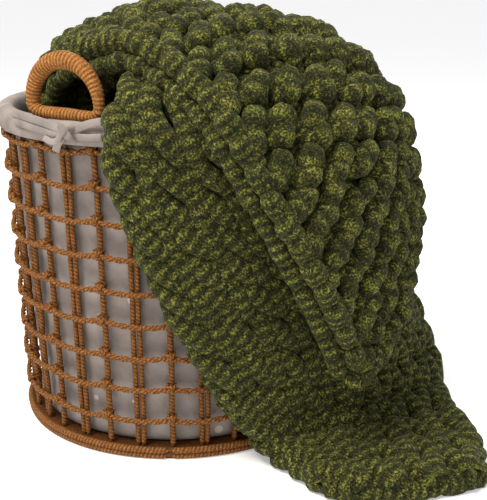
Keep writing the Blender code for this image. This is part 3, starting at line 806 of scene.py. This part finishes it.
# %% The liner
foot = wall_radius(0.012) - CORD - GAP - STAKE - 0.0006
neck_out = wall_radius(0.35) - CORD - GAP - STAKE - 0.0006
inner, outer_band = rim_radius - 0.0080, TOP_RADIUS + 0.0004
line = np.array([(0.0, 0.0136), (0.08, 0.0136), (0.15, 0.0136), (foot - 0.012, 0.0138), (foot - 0.003, 0.020),
                 (foot - 0.001, 0.05), (0.5 * (foot + neck_out), 0.18), (neck_out - 0.001, 0.335),
                 (inner, 0.352), (inner - 0.0006, 0.3625), (rim_radius - 0.0058, 0.3708),
                 (rim_radius, 0.3732), (rim_radius + 0.006, 0.3722), (outer_band + 0.0018, 0.3660),
                 (outer_band + 0.0022, 0.3575), (outer_band - 0.0008, 0.3508)])
profile = smooth_through(line, [4] * (len(line) - 1))
slope = np.gradient(profile, axis=0)
slope /= np.linalg.norm(slope, axis=1)[:, None]
square = np.stack([slope[:, 1], -slope[:, 0]], axis=1)
loop = np.concatenate([profile + square * COTTON_THICK / 2, (profile - square * COTTON_THICK / 2)[::-1]])
loop[:, 0] = np.maximum(loop[:, 0], 0.0)
turns = 240
angles = 360.0 * np.arange(turns) / turns
hang = np.clip(loop[:, 1] / 0.05, 0.0, 1.0) * np.clip((0.345 - loop[:, 1]) / 0.03, 0.0, 1.0)
hang = hang * (loop[:, 0] > 0.1)
fold = 0.5 + 0.5 * wobble(np.radians(angles)[None, :] * 6, loop[:, 1][:, None] * 14, 7)
gather = np.clip((loop[:, 1] - 0.345) / 0.01, 0.0, 1.0) * (loop[:, 0] > rim_radius)
pleat = wobble(np.radians(angles)[None, :] * 15, loop[:, 1][:, None] * 60, 8)
out = loop[:, 0][:, None] - 0.0042 * hang[:, None] * fold + 0.0014 * gather[:, None] * pleat
points = polar(np.broadcast_to(angles, out.shape), out, np.broadcast_to(loop[:, 1][:, None], out.shape))
rows, columns = out.shape
i, k = np.meshgrid(np.arange(rows), np.arange(columns), indexing="ij")
index = i * columns + k
index[0], index[-1] = 0, (rows - 1) * columns
grid_quads = np.stack([index[:-1], np.roll(index, -1, axis=1)[:-1], np.roll(index, -1, axis=1)[1:],
                       index[1:]], axis=-1).reshape(-1, 4)
first_ring = grid_quads[:columns][:, [0, 2, 3]]
last_ring = grid_quads[-columns:][:, [0, 1, 2]]
used = np.unique(grid_quads)
renumber = np.zeros(rows * columns, int)
renumber[used] = np.arange(len(used))
liner = add_piece("liner_cloth", points.reshape(-1, 3)[used],
                  [renumber[first_ring], renumber[grid_quads[columns:-columns]], renumber[last_ring]], cotton)
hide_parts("liner")

# %% [markdown]
# ## Ties
# The ties are flat cotton strips that go along the band, meet in a knot below the handle and end
# in two short tails. Each strip is a path with a rounded flat section that turns a little on it.

# %% Ties
RIBBON_SIDES = 10


def ribbon(places, wide, thick, radial):
    """A flat strip through (angle, distance, height) places, with `radial` degrees of turn on it."""
    path = smooth_through([polar(*place) for place in np.asarray(places, float)], [8] * (len(places) - 1))
    ahead = np.gradient(path, axis=0)
    ahead /= np.linalg.norm(ahead, axis=1)[:, None]
    outward = path * (1.0, 1.0, 0.0)
    outward /= np.linalg.norm(outward, axis=1)[:, None]
    side = np.cross(ahead, outward)
    turn = np.radians(np.linspace(0.0, radial, len(path)))[:, None]
    broad = np.cos(turn) * side + np.sin(turn) * outward
    flat = np.cross(broad, ahead)
    corner = 2 * np.pi * (np.arange(RIBBON_SIDES) + 0.5) / RIBBON_SIDES
    shape_x = np.sign(np.cos(corner)) * np.abs(np.cos(corner)) ** 0.5 * wide / 2
    shape_y = np.sign(np.sin(corner)) * np.abs(np.sin(corner)) ** 0.8 * thick / 2
    return (path[:, None] + shape_x[None, :, None] * broad[:, None] + shape_y[None, :, None] * flat[:, None])


seat = TOP_RADIUS + 0.0065
# Places as (angle, distance, height), then the width, the thickness and the turn in degrees
TIE_STRIPS = (
    ([(-54, 0.204, 0.378), (-50, seat, 0.376), (-42, seat, 0.374), (-34, seat, 0.370),
      (-27, seat + 0.003, 0.365)], 0.0090, 0.0022, 8),
    ([(-53, 0.205, 0.367), (-48, seat, 0.367), (-40, seat, 0.364), (-33, seat, 0.361),
      (-27, seat + 0.003, 0.361)], 0.0078, 0.0022, -6),
    ([(-26, seat + 0.003, 0.365), (-21, seat, 0.373), (-16.5, seat - 0.001, 0.377)],
     0.0085, 0.0022, 10),
    ([(-26, seat + 0.003, 0.361), (-21, seat, 0.360), (-16.5, seat - 0.001, 0.361)],
     0.0080, 0.0022, -10),
    ([(-27, seat + 0.004, 0.364), (-29, seat + 0.006, 0.355), (-31, seat + 0.003, 0.344)],
     0.0085, 0.0020, 35),
    ([(-27, seat + 0.004, 0.362), (-31, seat + 0.006, 0.354), (-35.5, seat + 0.002, 0.356)],
     0.0070, 0.0020, -30),
    ([(-30, seat + 0.001, 0.371), (-27.5, seat + 0.009, 0.370), (-25, seat + 0.009, 0.361),
      (-24, seat + 0.001, 0.355)], 0.0085, 0.0030, 12),
    ([(-24, seat + 0.001, 0.370), (-26, seat + 0.011, 0.368), (-28.5, seat + 0.009, 0.358),
      (-29, seat + 0.002, 0.353)], 0.0080, 0.0030, -12),
)
tie_tubes = [ribbon(*strip) for strip in TIE_STRIPS]
points, quads, uvs = join_tubes(tie_tubes)
firsts = np.cumsum([0] + [RIBBON_SIDES * len(grid) for grid in tie_tubes])
caps = [np.arange(RIBBON_SIDES)[None, :] + first for first in firsts[:-1]]
ends = [np.arange(RIBBON_SIDES)[None, ::-1] + first - RIBBON_SIDES for first in firsts[1:]]
tie = add_piece("tie_ribbons", points, [quads] + caps + ends, cotton)
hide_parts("tie")
